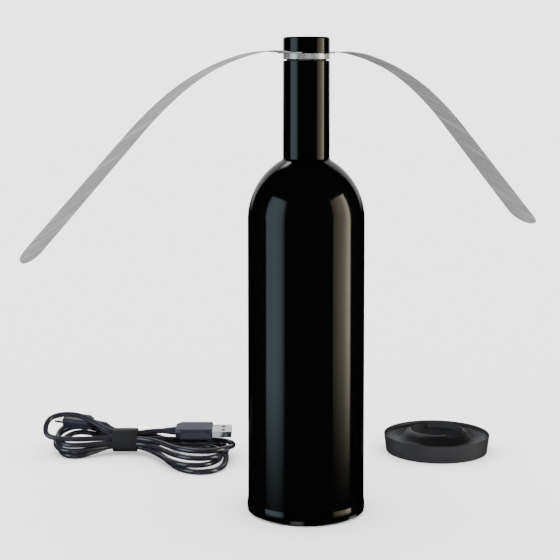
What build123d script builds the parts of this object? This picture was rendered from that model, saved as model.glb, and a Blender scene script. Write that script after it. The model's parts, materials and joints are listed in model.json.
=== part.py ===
"""Bottle-shaped table fly fan with a stand ring and a charging cable.

Millimetres. +Z is up and the origin is the centre of the bottle's foot. The front is -Y: the charging
socket and the switch are at the back, +Y. Two soft blades turn with the head on top of the neck.
"""

import os
from math import cos, radians, sin

from build123d import *

# ---------------------------------------------------------------- driving dimensions
body_r = 37.0
wall = 2.2
seam_z = 8.4
body_top = 186.5
shoulder_r = 43.7
neck_r = 14.75
neck_wall = 1.6
collar_z = 226.0
neck_top = 286.6
band_bottom = 287.4
band_top = 291.0
cap_top = 301.4

foot_z = 0.5
foot_r = 37.4
recess_r = 26.5
recess_roof = 7.0
plate_t = 2.4

blade_angle = 34.6
blade_t = 0.6
blade_root_w = 20.0
blade_tip_w = 28.0
blade_hinge_r = 15.3
blade_hinge_z = 291.45
blade_rise = 9.0
blade_bends = [(70.0, 21.0), (142.0, 25.0), (236.0, 8.0)]
blade_run = 100.0

ring_x = 97.6
ring_y = 142.0
ring_r = 38.9
ring_h = 12.8
collar_h = 16.0
lip_z = 12.0
lock_r = 19.06
notch_r = 22.9
notch_angles = [105.0, 285.0]
notch_span = 59.0
lug_play = 0.4

cable_d = 3.8
tie_x = -132.0
tie_y = 131.0
tie_z = 10.3
tie_length = 18.0
bundle_r = 7.2
tie_t = 1.2

usb_a_start = (-95.0, 132.1, 16.3)
usb_a_roll = 12.0
usb_a_body = (16.0, 8.4, 27.0)
usb_a_shell_size = (12.0, 4.5, 14.0)
micro_start = (-158.0, 141.8, 19.4)
micro_heading = (-0.968, 0.242, 0.06)
micro_roll = 25.0
micro_body = (11.0, 8.0, 22.0)
micro_shell_size = (6.85, 1.85, 7.0)
plug_pocket = 4.0
usb_a_relief_len = 9.0
micro_relief_len = 11.0

shaft_r = 1.0
shaft_len = 47.5
motor_r = 12.1
motor_z0 = 246.5
motor_z1 = 277.0
motor_bolt_r = 8.0
magnet_z0 = 252.0
magnet_h = 20.0
foam_h = 22.0
hub_z0 = 284.2
peg_x = 10.0
peg_y = 5.0

cell_r = 9.2
cell_z0 = 22.0
cell_h = 65.2
deck_z = 17.6
deck_t = 2.0
post_r = 23.0
post_angles = [45, 165, 285]

board_y = 24.0
board_t = 1.6
board_w = 24.0
board_z0 = 20.5
board_h = 58.0
rail_x = 10.5
rail_w = 3.2
port_z = 30.0
led_z = 41.0
light_pipe_r = 1.5
port_recess = (12.6, 9.4)
port_corner = 3.0
switch_z = 54.0
switch_slot_h = 3.2
switch_travel = 4.0

os.makedirs("parts", exist_ok=True)


def save(part, name):
    """Label a finished piece and write its STEP file."""
    part.label = name
    export_step(part, f"parts/{name}.step")


def radial_plane(angle):
    """Vertical plane through the bottle's axis: x outwards at the angle, y up."""
    out = (cos(radians(angle)), sin(radians(angle)), 0)
    return Plane(origin=(0, 0, 0), x_dir=out, z_dir=(out[1], -out[0], 0))


def level_plane(angle, z):
    """Horizontal plane at height z with x outwards at the angle."""
    out = (cos(radians(angle)), sin(radians(angle)), 0)
    return Plane(origin=(0, 0, z), x_dir=out, z_dir=(0, 0, 1))


def back_plane(y):
    """Vertical plane at the back: y up, normal outwards along +Y."""
    return Plane(origin=(0, y, 0), x_dir=(-1, 0, 0), z_dir=(0, 1, 0))


def wedge(radius, start, span):
    """Pie slice about the sketch's origin, for the caller's sketch."""
    with BuildSketch(Plane.XY) as slice_sketch:
        with BuildLine():
            arc = CenterArc((0, 0), radius, start, span)
            Line((0, 0), arc @ 0)
            Line((0, 0), arc @ 1)
        make_face()
    return slice_sketch.sketch


# ---------------------------------------------------------------- bottle shell
shoulder_axis = body_r - shoulder_r
spigot_r = neck_r - neck_wall - 0.1
spigot_h = 9.0
throat_r = 11.6


def shoulder_height(r, arc_r):
    """Height at which a shoulder arc of radius arc_r stands at radius r."""
    return body_top + (arc_r**2 - (r - shoulder_axis) ** 2) ** 0.5


blend_r = neck_r + 1.6
inner_arc = shoulder_r - wall

with BuildPart() as bottle_shell:
    with BuildSketch(Plane.XZ):
        with BuildLine():
            outside = Line((body_r, seam_z + 0.2), (body_r, body_top))
            shoulder_end = (blend_r, shoulder_height(blend_r, shoulder_r))
            shoulder = TangentArc(outside @ 1, shoulder_end, tangent=outside % 1)
            sweep_up = Spline(shoulder @ 1, (neck_r, collar_z), tangents=(shoulder % 1, (0, 1)))
            Polyline(
                sweep_up @ 1,
                (spigot_r, collar_z),
                (spigot_r, collar_z + spigot_h),
                (throat_r, collar_z + spigot_h),
                (throat_r, shoulder_height(throat_r, inner_arc)),
            )
            inner_top = (throat_r, shoulder_height(throat_r, inner_arc))
            inner_side = (body_r - wall, body_top)
            inside = TangentArc(inner_side, inner_top, tangent=(0, 1))
            Polyline(inner_side, (body_r - wall, seam_z + 0.2), outside @ 0)
        make_face()
    revolve(axis=Axis.Z)
    # recess round the charging socket, slot of the switch and hole of the light pipe
    with BuildSketch(Plane.XZ.offset(-body_r - 2)):
        with Locations((0, port_z)):
            RectangleRounded(*port_recess, port_corner)
        with Locations((0, switch_z)):
            SlotOverall(switch_travel + 5.0, switch_slot_h)
        with Locations((0, led_z)):
            Circle(light_pipe_r + 0.05)
    extrude(amount=7, mode=Mode.SUBTRACT)
save(bottle_shell.part, "bottle_shell")

# ---------------------------------------------------------------- neck
mount_z = 278.4
mount_t = 2.7
bead_t = 1.2
bead_h = 1.5

with BuildPart() as neck_sleeve:
    with BuildSketch(Plane.XZ):
        with Locations((neck_r - neck_wall / 2, (collar_z + neck_top) / 2)):
            Rectangle(neck_wall, neck_top - collar_z)
        # bead that the motor's mount plate stops against
        with Locations((neck_r - neck_wall - bead_t / 2, mount_z + mount_t + 0.1 + bead_h / 2)):
            Rectangle(bead_t, bead_h)
    revolve(axis=Axis.Z)
    fillet(neck_sleeve.edges().group_by(Axis.Z)[-1].sort_by(SortBy.RADIUS)[-1], 0.4)
save(neck_sleeve.part, "neck_sleeve")

mount_hole_r = 5.2

with BuildPart() as motor_mount:
    with BuildSketch(Plane.XY.offset(mount_z)):
        Circle(neck_r - neck_wall - 0.1)
        Circle(mount_hole_r, mode=Mode.SUBTRACT)
        with PolarLocations(motor_bolt_r, 2):
            Circle(1.1, mode=Mode.SUBTRACT)
    extrude(amount=mount_t)
save(motor_mount.part, "motor_mount")

motor_screw_head = 1.1
motor_screw_r = 0.95

with BuildPart() as motor_screws:
    for side in (-motor_bolt_r, motor_bolt_r):
        with BuildSketch(Plane.XY.offset(motor_z1)):
            with Locations((side, 0)):
                Circle(motor_screw_r)
        extrude(amount=mount_z + mount_t - motor_z1)
        with BuildSketch(Plane.XY.offset(mount_z + mount_t)):
            with Locations((side, 0)):
                Circle(1.7)
        extrude(amount=motor_screw_head)
        with BuildSketch(Plane.XY.offset(mount_z + mount_t + motor_screw_head)):
            with Locations((side, 0)):
                Rectangle(2.2, 0.5)
                Rectangle(0.5, 2.2)
        extrude(amount=-0.6, mode=Mode.SUBTRACT)
save(motor_screws.part, "motor_screws")

# ---------------------------------------------------------------- motor
can_wall = 0.9
bush_r = 3.0
bush_len = 3.0
bell_t = 2.5
rotor_r = 8.4

with BuildPart() as motor_can:
    with BuildSketch(Plane.XY.offset(motor_z0)):
        Circle(motor_r)
    extrude(amount=motor_z1 - motor_z0)
    with BuildSketch(Plane.XY.offset(motor_z1)):
        Circle(4.8)
        with PolarLocations(motor_bolt_r, 2):
            Circle(1.6)
    extrude(amount=mount_z - motor_z1)
    with BuildSketch(Plane.XY.offset(motor_z0)):
        Circle(motor_r - can_wall)
    extrude(amount=motor_z1 - motor_z0 - 1.2, mode=Mode.SUBTRACT)
    with BuildSketch(Plane.XY.offset(motor_z0)):
        Circle(bush_r)
        with PolarLocations(motor_bolt_r, 2):
            Circle(motor_screw_r)
    extrude(amount=mount_z - motor_z0, mode=Mode.SUBTRACT)
save(motor_can.part, "motor_can")

with BuildPart() as motor_magnets:
    with BuildSketch(Plane.XY.offset(magnet_z0)):
        Circle(motor_r - can_wall)
        Circle(rotor_r + 0.6, mode=Mode.SUBTRACT)
        Rectangle(6, 2 * motor_r, mode=Mode.SUBTRACT)
    extrude(amount=magnet_h)
save(motor_magnets.part, "motor_magnets")

with BuildPart() as motor_end_bell:
    with BuildSketch(Plane.XY.offset(motor_z0)):
        Circle(motor_r - can_wall)
        Circle(bush_r, mode=Mode.SUBTRACT)
    extrude(amount=bell_t)
    # brush holders either side of the commutator
    with BuildSketch(Plane.XY.offset(motor_z0 + bell_t)):
        with Locations((5.4, 0), (-5.4, 0)):
            Rectangle(4.0, 3.0)
    extrude(amount=2.2)
    # solder terminals
    with BuildSketch(Plane.XY.offset(motor_z0)):
        with Locations((7.5, 0), (-7.5, 0)):
            Rectangle(2.0, 0.5)
    extrude(amount=-3.0)
save(motor_end_bell.part, "motor_end_bell")

with BuildPart() as motor_bushings:
    for z in (motor_z0 - 0.6, motor_z1 - 1.6):
        with BuildSketch(Plane.XY.offset(z)):
            Circle(bush_r)
            Circle(shaft_r + 0.03, mode=Mode.SUBTRACT)
        extrude(amount=bush_len)
save(motor_bushings.part, "motor_bushings")

with BuildPart() as motor_foam_ring:
    with BuildSketch(Plane.XY.offset(magnet_z0)):
        Circle(neck_r - neck_wall - 0.05)
        Circle(motor_r + 0.05, mode=Mode.SUBTRACT)
    extrude(amount=foam_h)
save(motor_foam_ring.part, "motor_foam_ring")

# ---------------------------------------------------------------- turning head
with BuildPart() as motor_shaft:
    with BuildSketch(Plane.XY.offset(motor_z0 - 3)):
        Circle(shaft_r)
    extrude(amount=shaft_len)
    chamfer(motor_shaft.edges().filter_by(GeomType.CIRCLE), 0.25)
save(motor_shaft.part, "motor_shaft")

with BuildPart() as motor_armature:
    with BuildSketch(Plane.XY.offset(magnet_z0 + 1)):
        Circle(rotor_r)
        Circle(shaft_r, mode=Mode.SUBTRACT)
        with PolarLocations(rotor_r - 1.2, 3, start_angle=30):
            Rectangle(3.2, 1.2, mode=Mode.SUBTRACT)
    extrude(amount=magnet_h - 2)
save(motor_armature.part, "motor_armature")

commutator_r = 2.9
commutator_h = 3.2

with BuildPart() as motor_commutator:
    with BuildSketch(Plane.XY.offset(motor_z0 + bell_t + 0.6)):
        Circle(commutator_r)
        Circle(shaft_r, mode=Mode.SUBTRACT)
    extrude(amount=commutator_h)
save(motor_commutator.part, "motor_commutator")

hub_r = 13.35
hub_core_r = 4.0
hub_web = 1.6
skirt_r = 12.7
skirt_drop = 3.0
peg_r = 0.8

with BuildPart() as rotor_hub:
    with BuildSketch(Plane.XY.offset(hub_z0)):
        Circle(hub_core_r)
    extrude(amount=band_top + 2 - hub_z0)
    with BuildSketch(Plane.XY.offset(band_bottom)):
        Circle(hub_r)
    extrude(amount=band_top - band_bottom)
    with BuildSketch(Plane.XY.offset(band_bottom)):
        Circle(hub_r - hub_web)
        Circle(hub_core_r, mode=Mode.SUBTRACT)
    extrude(amount=hub_web, mode=Mode.SUBTRACT)
    with BuildSketch(Plane.XY.offset(hub_z0)):
        Circle(shaft_r)
    extrude(amount=motor_z0 - 3 + shaft_len - hub_z0, mode=Mode.SUBTRACT)
    # skirt inside the neck's rim, which closes the running gap
    with BuildSketch(Plane.XY.offset(band_bottom)):
        Circle(skirt_r)
        Circle(skirt_r - 1.0, mode=Mode.SUBTRACT)
    extrude(amount=-skirt_drop)
    for angle in (blade_angle, blade_angle + 180):
        with BuildSketch(level_plane(angle, band_top)):
            with Locations((peg_x, -peg_y), (peg_x, peg_y)):
                Circle(peg_r)
        extrude(amount=1.6)
save(rotor_hub.part, "rotor_hub")

with BuildPart() as trim_band:
    with BuildSketch(Plane.XY.offset(band_bottom)):
        Circle(neck_r - 0.1)
        Circle(hub_r, mode=Mode.SUBTRACT)
    extrude(amount=band_top - band_bottom)
    fillet(trim_band.edges().filter_by(GeomType.CIRCLE).group_by(SortBy.RADIUS)[-1], 0.35)
save(trim_band.part, "trim_band")

cap_wall = 1.6
slot_w = blade_root_w + 1.0

with BuildPart() as head_cap:
    with BuildSketch(Plane.XY.offset(band_top)):
        Circle(neck_r)
    extrude(amount=cap_top - band_top)
    fillet(head_cap.edges().group_by(Axis.Z)[-1], 1.5)
    with BuildSketch(Plane.XY.offset(band_top)):
        Circle(neck_r - cap_wall)
        Circle(5.8, mode=Mode.SUBTRACT)
    extrude(amount=cap_top - band_top - 1.8, mode=Mode.SUBTRACT)
    with BuildSketch(Plane.XY.offset(band_top)):
        Circle(hub_core_r)
    extrude(amount=2.0, mode=Mode.SUBTRACT)
    with BuildSketch(level_plane(blade_angle, band_top)):
        Rectangle(2 * neck_r + 1, slot_w)
    extrude(amount=1.0, mode=Mode.SUBTRACT)
save(head_cap.part, "head_cap")


def make_blade_tab(angle):
    """Flat root of a blade, pegged to the hub under the cap."""
    tab_start = 6.4
    tab_end = blade_hinge_r - 0.4
    with BuildPart() as blade_tab:
        with BuildSketch(level_plane(angle, band_top)):
            with Locations(((tab_start + tab_end) / 2, 0)):
                Rectangle(tab_end - tab_start, blade_root_w)
            with Locations((peg_x, -peg_y), (peg_x, peg_y)):
                Circle(peg_r, mode=Mode.SUBTRACT)
        extrude(amount=blade_t)
    return blade_tab.part


def blade_reach():
    """Distance of the blade's tip from the bottle's axis, seen from above."""
    heading = blade_rise
    reach = blade_hinge_r
    for radius, turn in blade_bends:
        reach += radius * (sin(radians(heading)) - sin(radians(heading - turn)))
        heading -= turn
    return reach + blade_run * cos(radians(heading))


def make_blade(angle):
    """Soft blade: it rises a little out of the joint, bends down in three arcs and ends straight.

    Its round root edge is centred on the line where it flexes.
    """
    tip = blade_reach()
    tip_round = blade_tip_w / 2 * cos(radians(45))
    with BuildPart() as blade:
        with BuildSketch(radial_plane(angle)):
            with BuildLine():
                heading = blade_rise
                joint = Vector(blade_hinge_r, blade_hinge_z)
                for radius, turn in blade_bends:
                    tangent = (cos(radians(heading)), sin(radians(heading)))
                    bend = JernArc(start=joint, tangent=tangent, radius=radius, arc_size=-turn)
                    joint = bend @ 1
                    heading -= turn
                run = Vector(blade_run * cos(radians(heading)), blade_run * sin(radians(heading)))
                Line(joint, joint + run)
                offset(amount=blade_t / 2, side=Side.BOTH)
            make_face()
        extrude(amount=blade_tip_w / 2, both=True)
        with BuildSketch(level_plane(angle, 0)):
            with BuildLine():
                Polyline(
                    (0, blade_root_w / 2),
                    (tip - tip_round, blade_tip_w / 2),
                    (tip - tip_round, -blade_tip_w / 2),
                    (0, -blade_root_w / 2),
                    (0, blade_root_w / 2),
                )
            make_face()
            with Locations((tip - tip_round, 0)):
                Ellipse(tip_round, blade_tip_w / 2)
        extrude(amount=cap_top, mode=Mode.INTERSECT)
    return blade.part


for side_name, side_angle in (("right", blade_angle), ("left", blade_angle + 180)):
    save(make_blade_tab(side_angle), f"blade_tab_{side_name}")
    save(make_blade(side_angle), f"blade_{side_name}")

# ---------------------------------------------------------------- base
roof_top = recess_roof + plate_t
boss_r = lock_r - lug_play
lug_r = notch_r - lug_play
lug_trim = 1.5
lug_t = 1.6
screw_r = 1.2
screw_head_r = 2.3
screw_head_t = 1.1
screw_spots = [(post_r * cos(radians(a)), post_r * sin(radians(a))) for a in post_angles]
foot_in = 28.2
foot_out = 35.2
foot_groove = 0.4

with BuildPart() as base_cap:
    with BuildSketch(Plane.XZ):
        with BuildLine():
            Polyline((recess_r, foot_z), (foot_r - 1.2, foot_z), (foot_r - 0.2, foot_z + 0.7))
            Spline(
                (foot_r - 0.2, foot_z + 0.7),
                (foot_r, foot_z + 2.2),
                (body_r, seam_z),
            )
            Polyline(
                (body_r, seam_z),
                (body_r - wall - 0.2, seam_z),
                (body_r - wall - 0.2, seam_z + 6),
                (body_r - wall - 2.2, seam_z + 6),
                (body_r - wall - 2.2, roof_top),
                (0, roof_top),
                (0, recess_roof),
                (recess_r, recess_roof),
                (recess_r, foot_z),
            )
        make_face()
    revolve(axis=Axis.Z)
    with BuildSketch(Plane.XY.offset(foot_z)):
        Circle(foot_out)
        Circle(foot_in, mode=Mode.SUBTRACT)
    extrude(amount=foot_groove, mode=Mode.SUBTRACT)
    # boss of the twist lock, with two lugs that pass through the stand ring's notches
    with BuildSketch(Plane.XY.offset(foot_z + 0.2)):
        Circle(boss_r)
        Circle(boss_r - 2.4, mode=Mode.SUBTRACT)
    extrude(amount=recess_roof - foot_z - 0.2)
    with BuildSketch(Plane.XY.offset(foot_z + 0.2)):
        for start in notch_angles:
            add(wedge(lug_r, start + lug_trim, notch_span - 2 * lug_trim))
        Circle(boss_r - 2.4, mode=Mode.SUBTRACT)
    extrude(amount=lug_t)
    with BuildSketch(Plane.XY.offset(recess_roof)):
        with Locations(*screw_spots):
            Circle(screw_r + 0.2)
    extrude(amount=plate_t, mode=Mode.SUBTRACT)
    with BuildSketch(Plane.XY.offset(recess_roof)):
        with Locations(*screw_spots):
            Circle(screw_head_r + 0.1)
    extrude(amount=screw_head_t + 0.1, mode=Mode.SUBTRACT)
save(base_cap.part, "base_cap")

with BuildPart() as base_screws:
    for spot in screw_spots:
        with BuildSketch(Plane.XY.offset(recess_roof + 0.1)):
            with Locations(spot):
                Circle(screw_head_r)
        extrude(amount=screw_head_t)
        with BuildSketch(Plane.XY.offset(recess_roof + 0.1 + screw_head_t)):
            with Locations(spot):
                Circle(screw_r)
        extrude(amount=9.0)
        with BuildSketch(Plane.XY.offset(recess_roof + 0.1)):
            with Locations(spot):
                Rectangle(2.8, 0.6)
                Rectangle(0.6, 2.8)
        extrude(amount=0.7, mode=Mode.SUBTRACT)
save(base_screws.part, "base_screws")

with BuildPart() as foot_ring:
    with BuildSketch(Plane.XY):
        Circle(foot_out)
        Circle(foot_in, mode=Mode.SUBTRACT)
    extrude(amount=foot_z + foot_groove)
save(foot_ring.part, "foot_ring")

with BuildPart() as ballast_disc:
    with BuildSketch(Plane.XY.offset(roof_top)):
        Circle(body_r - wall - 2.4)
        Circle(6.0, mode=Mode.SUBTRACT)
        with Locations(*screw_spots):
            Circle(4.0, mode=Mode.SUBTRACT)
    extrude(amount=deck_z - roof_top - 0.2)
    chamfer(ballast_disc.edges().group_by(Axis.Z)[-1].sort_by(SortBy.RADIUS)[-1], 0.6)
save(ballast_disc.part, "ballast_disc")

# ---------------------------------------------------------------- inner frame, cell and board
deck_top = deck_z + deck_t
rail_h = 56.0
board_screw_r = 0.95
board_screw_spots = [
    (x, z) for x in (-rail_x, rail_x) for z in (board_z0 + 3.5, board_z0 + board_h - 6)
]

with BuildPart() as inner_frame:
    with BuildSketch(Plane.XY.offset(deck_z)):
        Circle(body_r - wall - 0.15)
    extrude(amount=deck_t)
    with BuildSketch(Plane.XY.offset(roof_top)):
        with Locations(*screw_spots):
            Circle(3.4)
    extrude(amount=deck_z - roof_top)
    # cradle open to the front, and two rails that carry the board
    with BuildSketch(Plane.XY.offset(deck_top)):
        Circle(cell_r + 2.0)
        with Locations((rail_x, board_y / 2 + 2), (-rail_x, board_y / 2 + 2)):
            Rectangle(rail_w, board_y - 4)
        Circle(cell_r + 0.1, mode=Mode.SUBTRACT)
        with Locations((0, -10)):
            Rectangle(13, 10, mode=Mode.SUBTRACT)
    extrude(amount=rail_h + board_z0 - deck_top)
    with BuildSketch(Plane.XY.offset(deck_top)):
        with Locations((0, 10.5)):
            Rectangle(6, 5)
    extrude(amount=6, mode=Mode.SUBTRACT)
    with BuildSketch(Plane.XY.offset(roof_top)):
        with Locations(*screw_spots):
            Circle(screw_r)
    extrude(amount=deck_z - roof_top, mode=Mode.SUBTRACT)
    with BuildSketch(back_plane(board_y)):
        with Locations(*board_screw_spots):
            Circle(board_screw_r)
    extrude(amount=-8, mode=Mode.SUBTRACT)
save(inner_frame.part, "inner_frame")

with BuildPart() as battery_cell:
    with BuildSketch(Plane.XY.offset(cell_z0)):
        Circle(cell_r)
    extrude(amount=cell_h)
    fillet(battery_cell.edges().filter_by(GeomType.CIRCLE), 0.8)
save(battery_cell.part, "battery_cell")

tab_t = 0.3
with BuildPart() as battery_tabs:
    with BuildSketch(Plane.XY.offset(cell_z0 + cell_h)):
        Rectangle(6, 10)
    extrude(amount=tab_t)
    with BuildSketch(Plane.XY.offset(cell_z0 - tab_t)):
        with Locations((0, 5)):
            Rectangle(5, 19)
    extrude(amount=tab_t)
save(battery_tabs.part, "battery_tabs")


def make_lead(points, radii, diameter=1.3):
    """Insulated lead along straight runs joined by tangent arcs."""
    with BuildPart() as lead:
        with BuildLine() as route:
            FilletPolyline(*points, radius=radii)
        with BuildSketch(Plane(origin=route.wires()[0] @ 0, z_dir=route.wires()[0] % 0)):
            Circle(diameter / 2)
        sweep()
    return lead.part


cell_top = cell_z0 + cell_h + tab_t
save(
    make_lead([(2, 2, cell_top), (2, 2, 94), (2, 19, 94), (2, 19, 72), (2, 24, 72)], [4, 6, 4]),
    "battery_lead_red",
)
save(
    make_lead([(0, 13.4, cell_z0), (0, 13.4, 33), (0, 24, 33)], [8]),
    "battery_lead_black",
)
for lead_name, side in (("red", 1), ("black", -1)):
    motor_route = [
        (7.5 * side, 0, motor_z0 - 3),
        (7.5 * side, 0, 215),
        (6.5 * side, 19, 180),
        (6.5 * side, 19, 67),
        (6.5 * side, 24, 67),
    ]
    save(make_lead(motor_route, [30, 45, 4]), f"motor_lead_{lead_name}")

board_out = board_y + board_t

with BuildPart() as control_board:
    with BuildSketch(back_plane(board_y)):
        with Locations((0, board_z0 + board_h / 2)):
            RectangleRounded(board_w + 4, board_h, 1.5)
        with Locations(*board_screw_spots):
            Circle(board_screw_r + 0.05, mode=Mode.SUBTRACT)
    extrude(amount=board_t)
    # charger chip, motor driver, inductor and two capacitors
    with BuildSketch(back_plane(board_out)):
        with Locations((-7, 46)):
            Rectangle(5, 4)
        with Locations((7, 46)):
            Rectangle(4, 5)
        with Locations((0, 66)):
            Rectangle(6, 6)
        with Locations((-8, 58), (8, 58)):
            Rectangle(1.6, 3.2)
    extrude(amount=1.5)
save(control_board.part, "control_board")

with BuildPart() as board_screws:
    for spot in board_screw_spots:
        with BuildSketch(back_plane(board_out)):
            with Locations(spot):
                Circle(1.9)
        extrude(amount=1.2)
        with BuildSketch(back_plane(board_out)):
            with Locations(spot):
                Circle(board_screw_r)
        extrude(amount=-8)
        with BuildSketch(back_plane(board_out + 1.2)):
            with Locations(spot):
                Rectangle(2.4, 0.5)
                Rectangle(0.5, 2.4)
        extrude(amount=-0.7, mode=Mode.SUBTRACT)
save(board_screws.part, "board_screws")

socket_len = 6.8
with BuildPart() as usb_socket:
    with BuildSketch(back_plane(board_out)):
        with Locations((0, port_z)):
            RectangleRounded(7.7, 3.0, 0.7)
    extrude(amount=socket_len)
    with BuildSketch(back_plane(board_out + 0.5)):
        with Locations((0, port_z)):
            RectangleRounded(7.1, 2.4, 0.5)
    extrude(amount=socket_len, mode=Mode.SUBTRACT)
save(usb_socket.part, "usb_socket")

with BuildPart() as usb_socket_tongue:
    with BuildSketch(back_plane(board_out + 0.5)):
        with Locations((0, port_z)):
            Rectangle(6.0, 2.2)
    extrude(amount=1.0)
    with BuildSketch(back_plane(board_out + 1.5)):
        with Locations((0, port_z)):
            Rectangle(3.8, 0.7)
    extrude(amount=4.0)
save(usb_socket_tongue.part, "usb_socket_tongue")

with BuildPart() as status_led:
    with BuildSketch(back_plane(board_out)):
        with Locations((0, led_z)):
            Rectangle(3.2, 1.6)
    extrude(amount=0.9)
save(status_led.part, "status_led")

with BuildPart() as light_pipe:
    with BuildSketch(back_plane(board_out + 1.0)):
        with Locations((0, led_z)):
            Circle(light_pipe_r)
    extrude(amount=body_r - 0.1 - board_out - 1.0)
    # flange behind the bottle's wall
    with BuildSketch(back_plane(body_r - wall - 2)):
        with Locations((0, led_z)):
            Circle(light_pipe_r + 1)
    extrude(amount=1.2)
save(light_pipe.part, "light_pipe")

with BuildPart() as switch_housing:
    with BuildSketch(back_plane(board_out)):
        with Locations((0, switch_z)):
            Rectangle(12.5, 6.6)
    extrude(amount=5.4)
    with BuildSketch(back_plane(board_out + 2.2)):
        with Locations((0, switch_z)):
            Rectangle(8.0, 3.4)
    extrude(amount=4, mode=Mode.SUBTRACT)
save(switch_housing.part, "switch_housing")

knob_y = body_r + 0.4
with BuildPart() as switch_slider:
    # drawn at the off end of its travel, on the -X side
    with BuildSketch(back_plane(board_out + 2.6)):
        with Locations((switch_travel / 2, switch_z)):
            Rectangle(3.0, 2.6)
    extrude(amount=knob_y - board_out - 2.6)
    with BuildSketch(back_plane(knob_y)):
        with Locations((switch_travel / 2, switch_z)):
            RectangleRounded(7.6, 5.2, 1.0)
    extrude(amount=1.9)
    with BuildSketch(back_plane(knob_y + 1.9)):
        for step in (-2.2, 0, 2.2):
            with Locations((switch_travel / 2 + step, switch_z)):
                Rectangle(0.7, 6)
    extrude(amount=-0.5, mode=Mode.SUBTRACT)
save(switch_slider.part, "switch_slider")

# ---------------------------------------------------------------- stand ring
ring_axis = Axis((ring_x, ring_y, 0), (0, 0, 1))
trough_z = 9.0

with BuildPart() as stand_ring:
    with BuildSketch(Plane(origin=(ring_x, ring_y, 0), x_dir=(1, 0, 0), z_dir=(0, -1, 0))):
        with BuildLine():
            Polyline((0, 0), (ring_r - 1.9, 0), (ring_r - 1.6, 0.5), (ring_r, ring_h - 0.5))
            rim = ThreePointArc(
                (ring_r, ring_h - 0.5), (ring_r - 0.4, ring_h), (ring_r - 0.9, ring_h - 0.4)
            )
            dish = Spline(
                rim @ 1,
                (ring_r - 2.6, trough_z + 1.0),
                (ring_r - 7.0, trough_z),
                (lock_r + 8.6, trough_z + 1.2),
                (lock_r + 3.8, collar_h - 1.6),
                (lock_r, collar_h),
            )
            Polyline(dish @ 1, (0, collar_h), (0, 0))
        make_face()
    revolve(axis=ring_axis)
    with BuildSketch(Plane(origin=(ring_x, ring_y, 0))):
        Circle(notch_r + 0.3)
    extrude(amount=lip_z, mode=Mode.SUBTRACT)
    with BuildSketch(Plane(origin=(ring_x, ring_y, 0))):
        Circle(lock_r)
        for start in notch_angles:
            add(wedge(notch_r, start, notch_span))
    extrude(amount=collar_h + 1, mode=Mode.SUBTRACT)
    # detent nibs that hold the twist lock
    with BuildSketch(Plane(origin=(ring_x, ring_y, lip_z))):
        with PolarLocations(lock_r - 0.1, 2, start_angle=5.5):
            Circle(0.9)
    extrude(amount=3.2)
save(stand_ring.part, "stand_ring")

# ---------------------------------------------------------------- plugs of the cable


def plug_frame(start, heading, roll):
    """Plane across a plug at its rear end: z towards the plug's tip, y out of its broad face."""
    ahead = Vector(*heading).normalized()
    level = Vector(0, 0, 1).cross(ahead).normalized()
    broad = ahead.cross(level)
    width = level * cos(radians(roll)) + broad * sin(radians(roll))
    return Plane(origin=start, x_dir=width, z_dir=ahead)


usb_a = plug_frame(usb_a_start, (1, 0, 0), usb_a_roll)
micro = plug_frame(micro_start, micro_heading, -micro_roll)


def make_overmould(frame, size, shell_size, grip):
    """Moulded plug body with bevelled ends and a pocket for the rear of its shell."""
    width, height, length = size
    with BuildPart() as overmould:
        with BuildSketch(frame):
            RectangleRounded(width - 3, height - 2.6, 1.6)
        with BuildSketch(frame.offset(grip)):
            RectangleRounded(width, height, 2.2)
        loft()
        with BuildSketch(frame.offset(grip)):
            RectangleRounded(width, height, 2.2)
        extrude(amount=length - grip)
        front = overmould.faces().sort_by(Axis(frame.origin, frame.z_dir))[-1]
        fillet(front.edges(), 0.8)
        with BuildSketch(frame.offset(length)):
            Rectangle(shell_size[0], shell_size[1])
        extrude(amount=-plug_pocket, mode=Mode.SUBTRACT)
    return overmould.part


def make_relief(frame, r_cable, r_plug, length, steps):
    """Stepped strain relief behind a plug body, round the cable."""
    with BuildPart() as relief:
        for step in range(steps):
            share = (step + 1) / steps
            with BuildSketch(frame.offset(-length * (1 - step / steps))):
                Circle(r_cable + (r_plug - r_cable) * share)
            extrude(amount=length / steps)
    return relief.part


save(make_overmould(usb_a, usb_a_body, usb_a_shell_size, 4.0), "usb_a_overmould")
save(make_relief(usb_a, cable_d / 2, 3.0, usb_a_relief_len, 4), "usb_a_relief")
save(make_overmould(micro, micro_body, micro_shell_size, 3.0), "micro_overmould")
save(make_relief(micro, cable_d / 2, 2.8, micro_relief_len, 4), "micro_relief")

a_wide, a_high, a_long = usb_a_shell_size
with BuildPart() as usb_a_shell:
    with BuildSketch(usb_a.offset(usb_a_body[2] - plug_pocket)):
        Rectangle(a_wide, a_high)
        Rectangle(a_wide - 0.6, a_high - 0.6, mode=Mode.SUBTRACT)
    extrude(amount=a_long + plug_pocket)
    window_plane = Plane(
        origin=usb_a.offset(usb_a_body[2] + a_long - 6).origin, x_dir=usb_a.x_dir, z_dir=usb_a.y_dir
    )
    with BuildSketch(window_plane):
        with Locations((-2.9, 0), (2.9, 0)):
            Rectangle(2.3, 2.3)
    extrude(amount=a_high, both=True, mode=Mode.SUBTRACT)
save(usb_a_shell.part, "usb_a_shell")

with BuildPart() as usb_a_tongue:
    with BuildSketch(usb_a.offset(usb_a_body[2] - plug_pocket)):
        Rectangle(a_wide - 0.6, a_high - 0.6)
    extrude(amount=plug_pocket)
    with BuildSketch(usb_a.offset(usb_a_body[2])):
        with Locations((0, -1.0)):
            Rectangle(a_wide - 0.8, 1.85)
    extrude(amount=a_long - 1.0)
save(usb_a_tongue.part, "usb_a_tongue")

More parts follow.
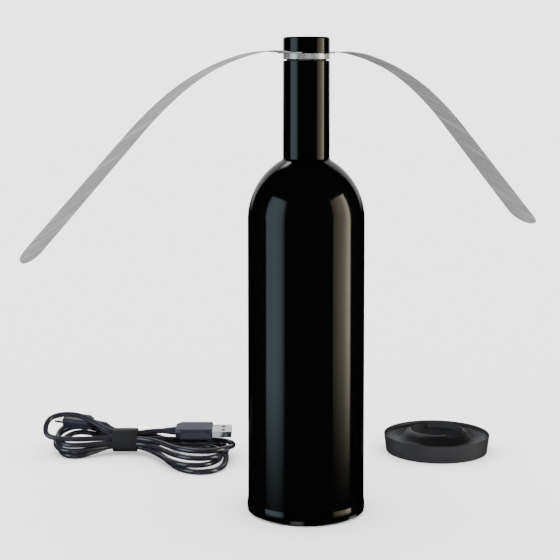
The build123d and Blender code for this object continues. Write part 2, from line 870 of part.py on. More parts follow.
with BuildPart() as usb_a_contacts:
    with BuildSketch(usb_a.offset(usb_a_body[2])):
        with Locations((-3.5, 0.0), (-1.0, 0.0), (1.0, 0.0), (3.5, 0.0)):
            Rectangle(1.0, 0.15)
    extrude(amount=a_long - 3.0)
save(usb_a_contacts.part, "usb_a_contacts")

m_wide, m_high, m_long = micro_shell_size
with BuildPart() as micro_shell:
    with BuildSketch(micro.offset(micro_body[2] - plug_pocket)):
        Rectangle(m_wide, m_high)
        Rectangle(m_wide - 0.5, m_high - 0.5, mode=Mode.SUBTRACT)
    extrude(amount=m_long + plug_pocket)
save(micro_shell.part, "micro_shell")

with BuildPart() as micro_tongue:
    with BuildSketch(micro.offset(micro_body[2] - plug_pocket)):
        Rectangle(m_wide - 0.5, m_high - 0.5)
    extrude(amount=plug_pocket)
    with BuildSketch(micro.offset(micro_body[2])):
        with Locations((0, -0.3)):
            Rectangle(m_wide - 1.6, 0.6)
    extrude(amount=m_long - 1.0)
save(micro_tongue.part, "micro_tongue")

# ---------------------------------------------------------------- cable hank and its tie
hank_left = -195.0
hank_right = -54.0
hank_left_h = 19.0
hank_right_h = 13.0
tie_side = 10.0
plug_pockets = [(usb_a, usb_a_body, 13, 50), (micro, micro_body, 16, 34)]

with BuildPart() as cable_hank:
    with BuildSketch(Plane.YZ.offset(hank_left)):
        with BuildLine():
            Polyline(
                (113, 0), (113, 9), (128, hank_left_h), (160, hank_left_h), (163, 14), (160, 0), (113, 0)
            )
        make_face()
    extrude(amount=tie_x - tie_side - hank_left)
    with BuildSketch():
        with BuildLine():
            Polyline(
                (tie_x + tie_side, 122), (-84, 72), (-66, 72), (hank_right, 84), (hank_right, 146),
                (-72, 150), (tie_x + tie_side, 141), (tie_x + tie_side, 122),
            )
        make_face()
    extrude(amount=hank_right_h)
    with BuildSketch(Plane.YZ.offset(tie_x - tie_side - 2)):
        with Locations((tie_y, tie_z)):
            Circle(bundle_r)
    extrude(amount=2 * tie_side + 4)
    # space over the planes that the plugs' broad faces lie on
    for frame, (width, height, _), behind, ahead in plug_pockets:
        with BuildSketch(frame.offset(-behind)):
            with Locations((0, 15 - height / 2)):
                Rectangle(width + 3, 30)
        extrude(amount=behind + ahead, mode=Mode.SUBTRACT)
    # the two ends of the cable, from the tie to the plugs
    with BuildSketch(usb_a.offset(-usb_a_relief_len)):
        Circle(cable_d / 2)
    extrude(amount=-(usb_a_start[0] - usb_a_relief_len - tie_x - tie_length / 2 - 0.2))
    with BuildSketch(micro.offset(-micro_relief_len)):
        Circle(cable_d / 2)
    extrude(amount=-5)
save(cable_hank.part, "cable_hank")

with BuildPart() as cable_tie:
    with BuildSketch(Plane.YZ.offset(tie_x - tie_length / 2)):
        with Locations((tie_y, tie_z)):
            Circle(bundle_r + tie_t)
            Circle(bundle_r, mode=Mode.SUBTRACT)
    extrude(amount=tie_length)
save(cable_tie.part, "cable_tie")
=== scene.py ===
"""Looks of a bottle-shaped table fly fan, its stand ring and its charging cable.

The bottle stands at the origin, +Z is up and the front is -Y. The object's own sizes are in
millimetres, and MM makes them metres. The floor, the lights and the camera are in metres.
"""

import json
from math import cos, radians, sin, sqrt

import bmesh
import bpy
import numpy as np
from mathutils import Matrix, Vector


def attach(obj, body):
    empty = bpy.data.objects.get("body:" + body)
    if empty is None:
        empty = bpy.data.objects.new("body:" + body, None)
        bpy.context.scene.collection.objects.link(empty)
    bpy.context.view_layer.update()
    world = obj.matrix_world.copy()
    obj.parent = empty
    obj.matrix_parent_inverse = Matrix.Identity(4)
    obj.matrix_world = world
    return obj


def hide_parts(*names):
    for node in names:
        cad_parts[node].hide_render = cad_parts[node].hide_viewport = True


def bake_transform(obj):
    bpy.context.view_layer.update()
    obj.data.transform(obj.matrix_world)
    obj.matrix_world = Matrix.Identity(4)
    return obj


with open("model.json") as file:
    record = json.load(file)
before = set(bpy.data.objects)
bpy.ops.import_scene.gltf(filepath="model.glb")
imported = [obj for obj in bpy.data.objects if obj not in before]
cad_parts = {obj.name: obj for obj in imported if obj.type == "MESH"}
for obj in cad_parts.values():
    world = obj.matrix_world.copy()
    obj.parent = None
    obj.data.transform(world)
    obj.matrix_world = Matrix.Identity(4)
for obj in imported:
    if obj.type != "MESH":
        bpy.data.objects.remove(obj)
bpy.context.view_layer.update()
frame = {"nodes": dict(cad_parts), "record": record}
scene = bpy.context.scene
MM = 0.001


def link(name, data):
    """A new object in the scene."""
    made = bpy.data.objects.new(name, data)
    scene.collection.objects.link(made)
    return made


def smooth(share):
    """0 to 1 with a soft start and a soft end."""
    share = min(1.0, max(0.0, share))
    return share * share * (3 - 2 * share)


# ---------------------------------------------------------------- materials
class Surface:
    """A material whose Principled shader takes plain values, with helpers for its textures."""

    def __init__(self, name, color, roughness, **sockets):
        self.material = bpy.data.materials.new(name)
        self.material.use_nodes = True
        self.nodes = self.material.node_tree.nodes
        self.links = self.material.node_tree.links
        self.shader = self.nodes["Principled BSDF"]
        self.shader.inputs["Base Color"].default_value = (*color, 1)
        self.shader.inputs["Roughness"].default_value = roughness
        for socket, value in sockets.items():
            self.shader.inputs[socket.replace("_", " ")].default_value = value
        self.place = self.nodes.new("ShaderNodeTexCoord").outputs["Object"]

    def noise(self, scale, detail=3.0, stretch=(1, 1, 1), distortion=0.0):
        """Noise over the object, the finer the larger scale and, along each axis, stretch are."""
        mapping = self.nodes.new("ShaderNodeMapping")
        mapping.inputs["Scale"].default_value = stretch
        self.links.new(self.place, mapping.inputs["Vector"])
        texture = self.nodes.new("ShaderNodeTexNoise")
        texture.inputs["Scale"].default_value = scale
        texture.inputs["Detail"].default_value = detail
        texture.inputs["Distortion"].default_value = distortion
        self.links.new(mapping.outputs["Vector"], texture.inputs["Vector"])
        return texture.outputs["Fac"]

    def spread(self, factor, low, high, from_low=0.3, from_high=0.7):
        """factor mapped from its middle range to low..high."""
        node = self.nodes.new("ShaderNodeMapRange")
        node.inputs["From Min"].default_value = from_low
        node.inputs["From Max"].default_value = from_high
        node.inputs["To Min"].default_value = low
        node.inputs["To Max"].default_value = high
        self.links.new(factor, node.inputs["Value"])
        return node.outputs["Result"]

    def tones(self, factor, dark, light, low=0.3, high=0.7):
        """Colour that runs from dark to light with the factor."""
        ramp = self.nodes.new("ShaderNodeValToRGB")
        ramp.color_ramp.elements[0].position = low
        ramp.color_ramp.elements[0].color = (*dark, 1)
        ramp.color_ramp.elements[1].position = high
        ramp.color_ramp.elements[1].color = (*light, 1)
        self.links.new(factor, ramp.inputs["Fac"])
        return ramp.outputs["Color"]

    def set(self, socket, output):
        """Drives a socket of the shader with a texture."""
        self.links.new(output, self.shader.inputs[socket])
        return self

    def bump(self, height, strength, distance):
        """Relief on top of any relief that the shader has already."""
        node = self.nodes.new("ShaderNodeBump")
        node.inputs["Strength"].default_value = strength
        node.inputs["Distance"].default_value = distance
        self.links.new(height, node.inputs["Height"])
        if self.shader.inputs["Normal"].is_linked:
            before = self.shader.inputs["Normal"].links[0].from_socket
            self.links.new(before, node.inputs["Normal"])
        self.links.new(node.outputs["Normal"], self.shader.inputs["Normal"])
        return self


def shades(color, share):
    """A darker and a lighter tone of a colour."""
    return [v * (1 - share) for v in color], [min(1.0, v * (1 + share)) for v in color]


def moulded(name, color, roughness, grain=1500, depth=0.02, **sockets):
    """Moulded plastic or rubber: a fine grain, depth in millimetres, and slightly uneven gloss."""
    made = Surface(name, color, roughness, **sockets)
    made.set("Roughness", made.spread(made.noise(70), roughness * 0.82, roughness * 1.18))
    made.set("Base Color", made.tones(made.noise(160), *shades(color, 0.12)))
    return made.bump(made.noise(grain, 2.0), 0.5, depth * MM)


def metal(name, color, roughness, stretch=(1, 1, 1), scale=400, depth=0.01):
    """Metal with a fine grain, drawn out into lines along an axis where stretch is small."""
    made = Surface(name, color, roughness, Metallic=1.0)
    lines = made.noise(scale, 4.0, stretch)
    made.set("Roughness", made.spread(lines, roughness * 0.75, roughness * 1.3))
    made.set("Base Color", made.tones(made.noise(90, 4.0), *shades(color, 0.08)))
    return made.bump(lines, 0.4, depth * MM)


def lacquer():
    """Deep gloss black of the bottle, with the faint waviness of a moulded and polished wall."""
    made = Surface("shell_gloss", (0.0008, 0.0008, 0.0009), 0.08, Specular_IOR_Level=0.32)
    made.set("Roughness", made.spread(made.noise(25), 0.065, 0.11))
    made.bump(made.noise(34, 1.0), 0.25, 0.03 * MM)
    return made.bump(made.noise(1400, 2.0), 0.2, 0.0012 * MM)


def satin_band():
    """Silver lacquered band: fine vertical lines and a mottled satin gloss."""
    made = Surface("silver_trim", (0.5, 0.51, 0.5), 0.3, Metallic=0.8)
    lines = made.noise(700, 4.0, (1, 1, 0.2))
    made.set("Roughness", made.spread(lines, 0.2, 0.42))
    made.set("Base Color", made.tones(lines, (0.26, 0.27, 0.26), (0.7, 0.71, 0.7)))
    return made.bump(lines, 0.4, 0.03 * MM)


def ring_finish():
    """Satin black ring, duller on its outer walls and glossier in its dish, with painted light: upright
    faces get a paler tone as if lit from the front, and faces that point up a darker tone as painted
    shade.
    """
    # painted light: a paler tone for upright walls as if lit, and a darker tone for painted shade on faces
    # that point up
    painted_lit_walls, painted_shaded_tops = (0.018, 0.018, 0.021), (0.003, 0.003, 0.004)
    made = Surface("ring_plastic", painted_lit_walls, 0.5, Specular_IOR_Level=0.3)
    split = made.nodes.new("ShaderNodeSeparateXYZ")
    made.links.new(made.nodes.new("ShaderNodeTexCoord").outputs["Normal"], split.inputs[0])
    # painted shade: the colour goes from the paler painted-lit tone to the darker painted-shade tone as
    # the face turns upwards
    upward = made.spread(split.outputs["Z"], 0.0, 1.0, 0.3, 0.75)
    uneven = made.noise(60, 3.0)
    blend = made.nodes.new("ShaderNodeMix")
    blend.data_type = "RGBA"
    made.links.new(upward, blend.inputs["Factor"])
    made.links.new(made.tones(uneven, *shades(painted_lit_walls, 0.12)), blend.inputs["A"])
    made.links.new(made.tones(uneven, *shades(painted_shaded_tops, 0.2)), blend.inputs["B"])
    made.set("Base Color", blend.outputs["Result"])
    made.set("Roughness", made.spread(upward, 0.55, 0.36, 0.0, 1.0))
    return made.bump(made.noise(2200, 2.0), 0.5, 0.035 * MM)


UV_UNIT = 100.0
STREAK_SLANT = -57
STREAK_LENGTH = 50.0
STREAK_WIDTH = 3.6


def film():
    """Soft grey film with pale slanting streaks from its fine pressed pattern.

    The strip's UV map runs along the blade and across it, in units of UV_UNIT.
    """
    darker, paler = (0.155, 0.155, 0.16), (0.215, 0.215, 0.22)
    made = Surface("blade_film", darker, 0.42, Specular_IOR_Level=0.4)
    strip = made.nodes.new("ShaderNodeUVMap")
    strip.uv_map = "strip"
    made.place = strip.outputs["UV"]
    slant = made.nodes.new("ShaderNodeMapping")
    slant.vector_type = "TEXTURE"
    slant.inputs["Rotation"].default_value = (0, 0, radians(STREAK_SLANT))
    slant.inputs["Scale"].default_value = (STREAK_LENGTH / UV_UNIT, STREAK_WIDTH / UV_UNIT, 1)
    made.links.new(made.place, slant.inputs["Vector"])
    streaks = made.nodes.new("ShaderNodeTexNoise")
    streaks.inputs["Scale"].default_value = 1.0
    streaks.inputs["Detail"].default_value = 0.8
    streaks.inputs["Distortion"].default_value = 0.3
    made.links.new(slant.outputs["Vector"], streaks.inputs["Vector"])
    pattern = streaks.outputs["Fac"]
    made.set("Base Color", made.tones(pattern, darker, paler, 0.48, 0.66))
    made.set("Roughness", made.spread(pattern, 0.5, 0.34))
    made.bump(pattern, 0.15, 0.08 * MM)
    return made.bump(made.noise(200, 2.0), 0.2, 0.0012 * MM)


def woven(name, color):
    """Strap with a fine woven face."""
    made = moulded(name, color, 0.55, 900, 0.03)
    weave = made.nodes.new("ShaderNodeTexWave")
    weave.inputs["Scale"].default_value = 330
    weave.bands_direction = "DIAGONAL"
    made.links.new(made.place, weave.inputs["Vector"])
    return made.bump(weave.outputs["Fac"], 0.35, 0.06 * MM)


surfaces = {
    "shell_gloss": lacquer(),
    "silver_trim": satin_band(),
    "blade_film": film(),
    "ring_plastic": ring_finish(),
    "foot_rubber": moulded("foot_rubber", (0.02, 0.02, 0.02), 0.75, 1800, 0.04),
    "ballast_steel": metal("ballast_steel", (0.42, 0.42, 0.43), 0.38, (1, 1, 0.1)),
    "frame_plastic": moulded("frame_plastic", (0.05, 0.05, 0.055), 0.5),
    "switch_plastic": moulded("switch_plastic", (0.03, 0.03, 0.032), 0.4),
    "motor_steel": metal("motor_steel", (0.62, 0.62, 0.64), 0.28, (1, 1, 0.1)),
    "screw_steel": metal("screw_steel", (0.55, 0.55, 0.56), 0.3),
    "magnet_ferrite": moulded("magnet_ferrite", (0.07, 0.07, 0.075), 0.7, 2600, 0.05),
    "copper": metal("copper", (0.78, 0.38, 0.2), 0.3, (0.1, 0.1, 1), 1500, 0.05),
    "bush_bronze": metal("bush_bronze", (0.62, 0.45, 0.22), 0.45, scale=1800, depth=0.03),
    "foam": moulded("foam", (0.1, 0.1, 0.1), 0.95, 1400, 0.25),
    "cell_wrap": moulded("cell_wrap", (0.05, 0.22, 0.42), 0.28, 300, 0.03),
    "nickel": metal("nickel", (0.66, 0.65, 0.62), 0.3),
    "lead_red": moulded("lead_red", (0.55, 0.03, 0.03), 0.4),
    "lead_black": moulded("lead_black", (0.02, 0.02, 0.02), 0.4),
    "board_green": moulded("board_green", (0.008, 0.05, 0.025), 0.35, 600, 0.02),
    "led_white": moulded("led_white", (0.85, 0.84, 0.7), 0.3, 600, 0.01),
    "clear_pipe": moulded("clear_pipe", (0.9, 0.92, 0.93), 0.15, 600, 0.01,
                          Transmission_Weight=0.9, IOR=1.49),
    "plug_steel": metal("plug_steel", (0.80, 0.81, 0.78), 0.25, (0.15, 1, 1), 900, 0.015),
    "tongue_plastic": moulded("tongue_plastic", (0.02, 0.02, 0.022), 0.45),
    "contact_gold": metal("contact_gold", (0.82, 0.62, 0.28), 0.25),
    "plug_plastic": moulded("plug_plastic", (0.016, 0.016, 0.028), 0.3, 1500, 0.02),
    "cable_jacket": moulded("cable_jacket", (0.0125, 0.012, 0.0165), 0.17, 1100, 0.008,
                            Specular_IOR_Level=0.85),
    "tie_strap": woven("tie_strap", (0.0085, 0.0085, 0.011)),
}
for part in frame["record"]["subparts"]:
    shown = frame["nodes"][part["node"]]
    shown.data.materials.clear()
    shown.data.materials.append(surfaces[part["material_slot"]].material)

# ---------------------------------------------------------------- blades
BLADE_ANGLE = 34.6  # of the right blade, from +X
BLADE_T = 0.6
ROOT_W = 20.0
TIP_W = 28.0
HINGE_R = 15.3
HINGE_Z = 291.45
ROOT_INSIDE = 2.6
BLADE_RISE = 9.0  # heading at the hinge, degrees upwards
BLADE_BENDS = [(70.0, 21.0), (142.0, 25.0), (236.0, 8.0)]  # radius and degrees downwards, from the hinge
BLADE_RUN = 100.0  # straight rest of the blade
TIP_LENGTH = 10.5
TIP_ROUNDNESS = 2.3
TIP_STEPS = 9
END_HALF = 0.35  # half the width left at the very tip
WAIST = 0.66  # share of the width at the root, growing to all of it over WAIST_RUN
WAIST_RUN = 26.0
TWIST = 5.6  # degrees, reached at TWIST_OVER
TWIST_OVER = 60.0
# from the middle to an edge: share of the half width, share of the thickness
EDGE_LANES = [(0.15, 1), (0.45, 1), (0.75, 1), (0.93, 1), (0.985, 0.62), (1, 0)]
LANES = [(-across, thick) for across, thick in reversed(EDGE_LANES)] + EDGE_LANES


def blade_line(step=2.0):
    """Radius, height, heading and distance from the hinge along the blade's middle line."""
    line = [(HINGE_R - ROOT_INSIDE, HINGE_Z, 0.0, -ROOT_INSIDE)]
    r, z, heading, along = HINGE_R, HINGE_Z, BLADE_RISE, 0.0
    for radius, turn in BLADE_BENDS + [(None, 0.0)]:
        length = BLADE_RUN if radius is None else radius * radians(turn)
        count = round(length / step)
        for _ in range(count):
            line.append((r, z, radians(heading), along))
            heading -= turn / count / 2
            r += length / count * cos(radians(heading))
            z += length / count * sin(radians(heading))
            heading -= turn / count / 2
            along += length / count
    line.append((r, z, radians(heading), along))
    return line


def half_width(along, total):
    """Half the blade's width: a slight taper and a waist towards the root, and a round tip."""
    share = max(0.0, along) / total
    width = (ROOT_W + (TIP_W - ROOT_W) * share) / 2
    width *= WAIST + (1 - WAIST) * smooth(along / WAIST_RUN)
    left = total - along
    if left < TIP_LENGTH:
        width *= sqrt(max(0.0, 1 - (1 - left / TIP_LENGTH) ** TIP_ROUNDNESS))
    return max(width, END_HALF)


def strip_rows(mesh, out):
    """Rings of vertices along the blade that points out, and each vertex's place on the strip."""
    across = Vector((-out.y, out.x, 0))
    line = blade_line()
    total = line[-1][3]
    fine_tip = {total - TIP_LENGTH * (1 - t / TIP_STEPS) ** 2 for t in range(TIP_STEPS + 1)}
    along = np.array([row[3] for row in line])
    stations = {a for a in along if a < total - TIP_LENGTH - 1} | fine_tip
    rows, places = [], {}
    for s in sorted(stations):
        r, z, heading = (np.interp(s, along, [row[k] for row in line]) for k in range(3))
        middle = out * r + Vector((0, 0, z))
        normal = Vector((0, 0, cos(heading))) - out * sin(heading)
        twist = radians(TWIST) * min(1.0, max(0.0, s) / TWIST_OVER)
        wide = across * cos(twist) + normal * sin(twist)
        face = normal * cos(twist) - across * sin(twist)
        width = half_width(s, total)
        row = []
        for lane, thick in LANES:
            place = middle + wide * (lane * width)
            for face_side in ((1, -1) if thick else (0,)):
                vert = mesh.verts.new((place + face * (face_side * thick * BLADE_T / 2)) * MM)
                places[vert] = (s / UV_UNIT, lane * width / UV_UNIT)
                row.append(vert)
        rows.append(row)
    return rows, places


def make_blade(side, angle):
    """A soft strip with rounded edges, twisted a little about its own line."""
    out = Vector((cos(radians(angle)), sin(radians(angle)), 0))
    mesh = bmesh.new()
    uv = mesh.loops.layers.uv.new("strip")
    rows, places = strip_rows(mesh, out)
    count = len(LANES)
    top = [0] + [2 * k - 1 for k in range(1, count - 1)] + [2 * count - 3]
    bottom = [0] + [2 * k for k in range(1, count - 1)] + [2 * count - 3]
    for before, after in zip(rows, rows[1:]):
        for k in range(count - 1):
            a, b = top[k], top[k + 1]
            mesh.faces.new((before[a], after[a], after[b], before[b]))
            a, b = bottom[k], bottom[k + 1]
            mesh.faces.new((before[b], after[b], after[a], before[a]))
    for row, flip in ((rows[0], False), (rows[-1], True)):
        loop = [row[k] for k in top] + [row[k] for k in reversed(bottom[1:-1])]
        mesh.faces.new(list(reversed(loop)) if flip else loop)
    bmesh.ops.recalc_face_normals(mesh, faces=mesh.faces)
    for face in mesh.faces:
        face.smooth = True
        for corner in face.loops:
            corner[uv].uv = places[corner.vert]
    data = bpy.data.meshes.new(f"blade_strip_{side}")
    mesh.to_mesh(data)
    mesh.free()
    blade = link(f"blade_strip_{side}", data)
    blade.data.materials.append(surfaces["blade_film"].material)
    blade.visible_glossy = False  # the bottle's gloss stays clear of the blades
    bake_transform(blade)
    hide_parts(f"blade_{side}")


make_blade("right", BLADE_ANGLE)
make_blade("left", BLADE_ANGLE + 180)

# ---------------------------------------------------------------- cable hank
CABLE_D = 3.8
TIE = Vector((-132.0, 131.0, 10.3))
TIE_HALF = 9.0
STRANDS = 8  # round one in the middle of the tied bundle
STRANDS_R = 5.05
FIRST_STRAND = 22.5  # degrees upwards from the back
MICRO_EXIT = (-147.35, 139.14, 18.74)
USB_A_EXIT = (-104.0, 132.1, 16.3)


def strand(step):
    """Where a strand runs through the tie, y and z: in the middle, or counted from the back upwards."""
    if step is None:
        return TIE.y, TIE.z
    angle = radians(FIRST_STRAND + 360 / STRANDS * step)
    return TIE.y + STRANDS_R * cos(angle), TIE.z + STRANDS_R * sin(angle)


def hank_points():
    """Control points of the cable, turn by turn, and which of them the tie and plugs hold.

    Each turn runs from the tie to the right and back, then to the left and back. Its points lie at
    shares of the loop's reach from the tie.
    """
    right_loops = [  # reach, back y, front y, back z, front z
        (-57, 139, 74.0, 2.0, 2.0),
        (-61, 132, 79.0, 5.8, 5.2),
        (-58, 146, 84.0, 3.0, 8.2),
        (-53, 141, 90.5, 6.9, 11.4),
    ]
    left_loops = [  # reach, front y, back y, front z, back z, roundness of the fold
        (-180, 112.5, 158, 2.0, 9.0, 12),
        (-184, 113.0, 163, 5.8, 11.5, 12),
        (-182, 113.5, 161, 9.6, 15.0, 12),
        (-190, 117.0, 141, 13.0, 26.5, 5),
    ]
    going_right = [1, 7, 0, None, 2]
    going_left = [6, 5, 4, 3]
    tie_right = TIE.x + TIE_HALF
    tie_left = TIE.x - TIE_HALF
    points, held = [], []

    def add(x, y, z, fixed=False):
        points.append((x, y, z))
        held.append(fixed)

    def add_loop(start, reach, shares):
        for share, y, z in shares:
            add(start + share * (reach - start), y, z)

    add(*MICRO_EXIT, fixed=True)
    add(tie_left, *strand(going_right[0]), fixed=True)
    for turn in range(len(right_loops)):
        y, z = strand(going_right[turn])
        y2, z2 = strand(going_left[turn])
        y3, z3 = strand(going_right[turn + 1])
        add(tie_right, y, z, fixed=True)
        reach, back, front, back_z, front_z = right_loops[turn]
        add_loop(tie_right, reach, [
            (0.22, 0.7 * y + 0.35 * back - 0.05 * TIE.y, 0.7 * z + 0.3 * back_z),
            (0.55, back - 1, back_z),
            (0.84, back, back_z),
            (0.985, back - 10, 0.9 * back_z + 0.1 * front_z),
            (1.015, (back + front) / 2, (back_z + front_z) / 2),
            (0.985, front + 12, front_z),
            (0.85, front + 1, front_z),
            (0.65, front + 0.5, front_z),
            (0.45, 0.8 * front + 0.2 * y2 + 1, front_z),
            (0.22, 0.22 * front + 0.78 * y2 - 1, 0.7 * z2 + 0.3 * front_z),
        ])
        add(tie_right, y2, z2, fixed=True)
        add(tie_left, y2, z2, fixed=True)
        reach, front, back, front_z, back_z, fold = left_loops[turn]
        add_loop(tie_left, reach, [
            (0.27, (y2 + front) / 2, (z2 + front_z) / 2),
            (0.55, front + 0.5, front_z),
            (0.82, front + 2.5, front_z),
            (0.98, front + fold, 0.88 * front_z + 0.12 * back_z),
            (1.02, (front + back) / 2, (front_z + back_z) / 2),
            (0.97, back - fold, 0.86 * back_z + 0.14 * front_z),
            (0.80, back - 1, back_z),
            (0.52, back - 3, back_z),
            (0.25, 0.6 * y3 + 0.4 * back, 0.55 * z3 + 0.45 * back_z),
        ])
        add(tie_left, y3, z3, fixed=True)
    add(tie_right, y3, z3, fixed=True)
    add(tie_right + 8, TIE.y + 1.2, z3 + 0.8)
    add(*USB_A_EXIT, fixed=True)
    return np.array(points), np.array(held)


def line_weights(count, samples):
    """Rows that turn a quadratic spline's control points into points along it, ends included."""
    knots = np.concatenate([[0, 0], np.arange(count - 1), [count - 2, count - 2]])
    rows = np.zeros((samples, count))
    for row, u in enumerate(np.linspace(0, count - 2 - 1e-6, samples)):
        span = int(u) + 2
        left = knots[span] - knots[span - 1]
        a = (u - knots[span - 1]) / (knots[span + 1] - knots[span - 1])
        b = (u - knots[span]) / (knots[span + 1] - knots[span])
        c = (u - knots[span]) / (knots[span + 2] - knots[span])
        rows[row, span - 2] = (1 - a) * (1 - b)
        rows[row, span - 1] = a * (1 - b) + b * (1 - c)
        rows[row, span] = b * c
    return rows


def settle(points, held, rounds=60, gap=1.03 * CABLE_D, push_share=1.8, keep=0.75):
    """Strands that lie in each other move apart, and the free points keep the route smooth.

    In each round the points of the line that are nearer than gap, and not neighbours along it, push
    each other away. A free control point moves by push_share of what its stretch of the line does.
    It keeps the share keep of its shift from home, and takes the rest from the two points beside it.
    """
    home = points.copy()
    weights = line_weights(len(points), 6 * len(points))
    back = (weights / weights.sum(0)).T
    for _ in range(rounds):
        line = weights @ points
        along = np.concatenate([[0], np.cumsum(np.linalg.norm(np.diff(line, axis=0), axis=1))])
        apart = line[:, None] - line[None]
        distance = np.linalg.norm(apart, axis=2) + 1e-9
        near = (distance < gap) & (np.abs(along[:, None] - along) > 4 * CABLE_D)
        push = np.where(near, gap - distance, 0) / distance
        move = 0.5 * (push[..., None] * apart).sum(1)
        move[:, 2] += np.maximum(0, CABLE_D / 2 - line[:, 2])
        shift = points + push_share * back @ move * ~held[:, None] - home
        beside = (shift[:-2] + shift[2:]) / 2
        shift[1:-1] = keep * shift[1:-1] + (1 - keep) * beside
        shift[held] = 0
        points = home + shift
        points[:, 2] = np.maximum(points[:, 2], CABLE_D / 2)
    return points


def make_cable():
    """The cord as one smooth spline, with its jacket."""
    route = settle(*hank_points())
    curve = bpy.data.curves.new("cable", "CURVE")
    curve.dimensions = "3D"
    spline = curve.splines.new("NURBS")
    spline.points.add(len(route) - 1)
    for point, place in zip(spline.points, route):
        point.co = (*(place * MM), 1)
    spline.order_u = 3
    spline.use_endpoint_u = True
    spline.resolution_u = 10
    curve.bevel_depth = CABLE_D / 2 * MM
    curve.bevel_resolution = 6
    made = link("cable", curve)
    made.data.materials.append(surfaces["cable_jacket"].material)
    return made


BUNDLE_R = 7.15
STRAP_T = 0.9
STRAP_START = 200
STRAP_TURN = 415  # a lap of 55 degrees over a full turn
STRAP_STEPS = 96
STRAP_BULGE = 0.1
STRAP_EDGE = 0.25


def make_tie():
    """Strap wound a little more than once round the bundle, bulging slightly over its strands."""
    full_turn = 360 / STRAP_TURN
    mesh = bmesh.new()
    rows = []
    for step in range(STRAP_STEPS + 1):
        share = step / STRAP_STEPS
        angle = radians(STRAP_START + STRAP_TURN * share)
        lap = (share - full_turn) / (1 - full_turn)
        bulge = STRAP_BULGE * cos(STRANDS * (angle - radians(FIRST_STRAND)))
        inner = BUNDLE_R + STRAP_T * smooth(3 * lap) + bulge
        row = []
        for r in (inner, inner + STRAP_T):
            for x in (-TIE_HALF, TIE_HALF):
                spot = TIE + Vector((x, r * cos(angle), r * sin(angle)))
                row.append(mesh.verts.new(spot * MM))
        rows.append(row)
    for a, b in zip(rows, rows[1:]):
        for k, n in ((0, 1), (1, 3), (3, 2), (2, 0)):
            mesh.faces.new((a[k], a[n], b[n], b[k]))
    mesh.faces.new((rows[0][0], rows[0][2], rows[0][3], rows[0][1]))
    mesh.faces.new((rows[-1][1], rows[-1][3], rows[-1][2], rows[-1][0]))
    bmesh.ops.recalc_face_normals(mesh, faces=mesh.faces)
    for face in mesh.faces:
        face.smooth = True
    data = bpy.data.meshes.new("tie_strap")
    mesh.to_mesh(data)
    mesh.free()
    strap = link("tie_strap", data)
    strap.data.materials.append(surfaces["tie_strap"].material)
    bevel = strap.modifiers.new("edges", "BEVEL")
    bevel.width = STRAP_EDGE * MM
    bevel.segments = 3
    bevel.limit_method = "ANGLE"
    bevel.angle_limit = radians(40)
    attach(strap, "cable")
    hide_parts("cable_tie")
    return strap


cable = make_cable()
tie = make_tie()
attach(cable, "cable")
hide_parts("cable_hank")


# ---------------------------------------------------------------- floor, light and camera
def sheet_of(name, corners):
    """A flat mesh of one face."""
    mesh = bpy.data.meshes.new(name)
    mesh.from_pydata(corners, [], [(0, 1, 2, 3)])
    return mesh


FAR = 6.0
floor = link("floor", sheet_of("floor", [(-FAR, -FAR, 0), (FAR, -FAR, 0), (FAR, FAR, 0), (-FAR, FAR, 0)]))
floor_paint = Surface("floor_paint", (0.98, 0.98, 0.98), 0.9, Specular_IOR_Level=0.0)
floor.data.materials.append(floor_paint.material)
floor.visible_glossy = False

world = bpy.data.worlds.new("studio")
scene.world = world
world.use_nodes = True
world.node_tree.nodes["Background"].inputs["Color"].default_value = (1, 1, 1, 1)
world.node_tree.nodes["Background"].inputs["Strength"].default_value = 3.2
world.cycles_visibility.glossy = False


def glow(name, width, low, rise, power, color, across):
    """Emission that varies across a panel and grows from nothing at its bottom edge to full at rise."""
    made = bpy.data.materials.new(name)
    made.use_nodes = True
    tree = made.node_tree
    tree.nodes.clear()
    out = tree.nodes.new("ShaderNodeOutputMaterial")
    light = tree.nodes.new("ShaderNodeEmission")
    light.inputs["Color"].default_value = (*color, 1)
    split = tree.nodes.new("ShaderNodeSeparateXYZ")
    tree.links.new(tree.nodes.new("ShaderNodeTexCoord").outputs["Object"], split.inputs[0])
    along = tree.nodes.new("ShaderNodeMapRange")
    along.inputs["From Min"].default_value = -width / 2
    along.inputs["From Max"].default_value = width / 2
    tree.links.new(split.outputs["X"], along.inputs["Value"])
    ramp = tree.nodes.new("ShaderNodeValToRGB")
    stops = ramp.color_ramp.elements
    for _ in across[2:]:
        stops.new(0.5)
    for stop, (place, share) in zip(stops, across):
        stop.position = place
        stop.color = (share, share, share, 1)
    tree.links.new(along.outputs["Result"], ramp.inputs["Fac"])
    up = tree.nodes.new("ShaderNodeMapRange")
    up.interpolation_type = "SMOOTHSTEP"
    up.inputs["From Min"].default_value = low
    up.inputs["From Max"].default_value = rise
    up.inputs["To Max"].default_value = power
    tree.links.new(split.outputs["Z"], up.inputs["Value"])
    strength = tree.nodes.new("ShaderNodeMath")
    strength.operation = "MULTIPLY"
    tree.links.new(ramp.outputs["Color"], strength.inputs[0])
    tree.links.new(up.outputs["Result"], strength.inputs[1])
    tree.links.new(strength.outputs["Value"], light.inputs["Strength"])
    tree.links.new(light.outputs["Emission"], out.inputs["Surface"])
    return made


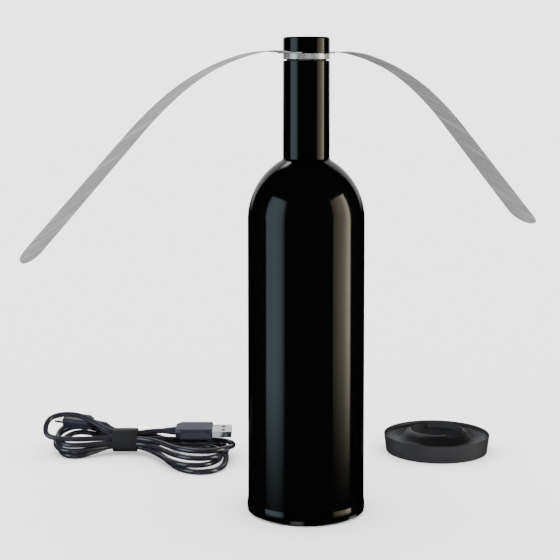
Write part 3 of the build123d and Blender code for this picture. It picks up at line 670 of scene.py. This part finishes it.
def panel(name, azimuth, distance, width, low, high, power, color, across, rise):
    """Upright panel of light facing the bottle, azimuth degrees right of the camera's side.

    It lights only glossy and clear surfaces. across lists (share of the width, share of the power).
    """
    side = width / 2
    made = link(name, sheet_of(name, [(-side, 0, low), (side, 0, low), (side, 0, high), (-side, 0, high)]))
    turn = radians(azimuth)
    made.location = (distance * sin(turn), -distance * cos(turn), 0)
    made.rotation_euler = (0, 0, turn)
    made.visible_camera = False
    made.visible_diffuse = False
    made.visible_shadow = False
    made.data.materials.append(glow(name, width, low, rise, power, color, across))


# long upright reflections left and right on the bottle, and the rims of its shoulder
panel("left_panel", -63, 1.2, 0.92, -0.42, 0.9, 2.8, (0.70, 0.9, 1.0),
      [(0.0, 0.75), (0.5, 1.0), (0.8, 0.8), (1.0, 0.15)], -0.12)
panel("right_panel", 74, 1.2, 0.92, -0.36, 0.9, 7.0, (1.0, 0.92, 0.68),
      [(0.0, 0.16), (0.3, 0.3), (0.6, 0.5), (0.85, 1.0), (1.0, 1.0)], -0.05)
panel("back_panel", 180, 1.5, 2.6, 0.12, 1.9, 1.1, (0.95, 0.97, 1.0),
      [(0.0, 0.6), (0.5, 1.0), (1.0, 0.6)], 0.4)
# soft line along the tops of the cable's strands
panel("strand_strip", 206, 0.9, 0.6, 0.95, 1.4, 5.0, (1.0, 1.0, 1.0),
      [(0.0, 0.0), (0.25, 1.0), (0.75, 1.0), (1.0, 0.0)], 1.1)
# under the floor, seen only as reflections in steep walls from raised viewpoints
for side, azimuth in (("left", -18), ("right", 108), ("rear", 180)):
    panel(f"low_{side}_panel", azimuth, 1.2, 0.6, -1.5, -0.5, 2.2, (0.9, 0.95, 1.0),
          [(0.0, 0.3), (0.3, 1.0), (0.7, 1.0), (1.0, 0.3)], -0.9)

CAMERA_AT = (-0.0047, -0.8733, 0.2764)
CAMERA_PITCH = 3.76
CAMERA_YAW = 0.78
camera = link("camera", bpy.data.cameras.new("camera"))
camera.data.sensor_width = 36
camera.data.lens = 89.15
camera.data.shift_y = -0.2
camera.location = CAMERA_AT
camera.rotation_euler = (radians(90 - CAMERA_PITCH), 0, radians(CAMERA_YAW))
camera.data.clip_start = 0.01
camera.data.clip_end = 50
scene.camera = camera
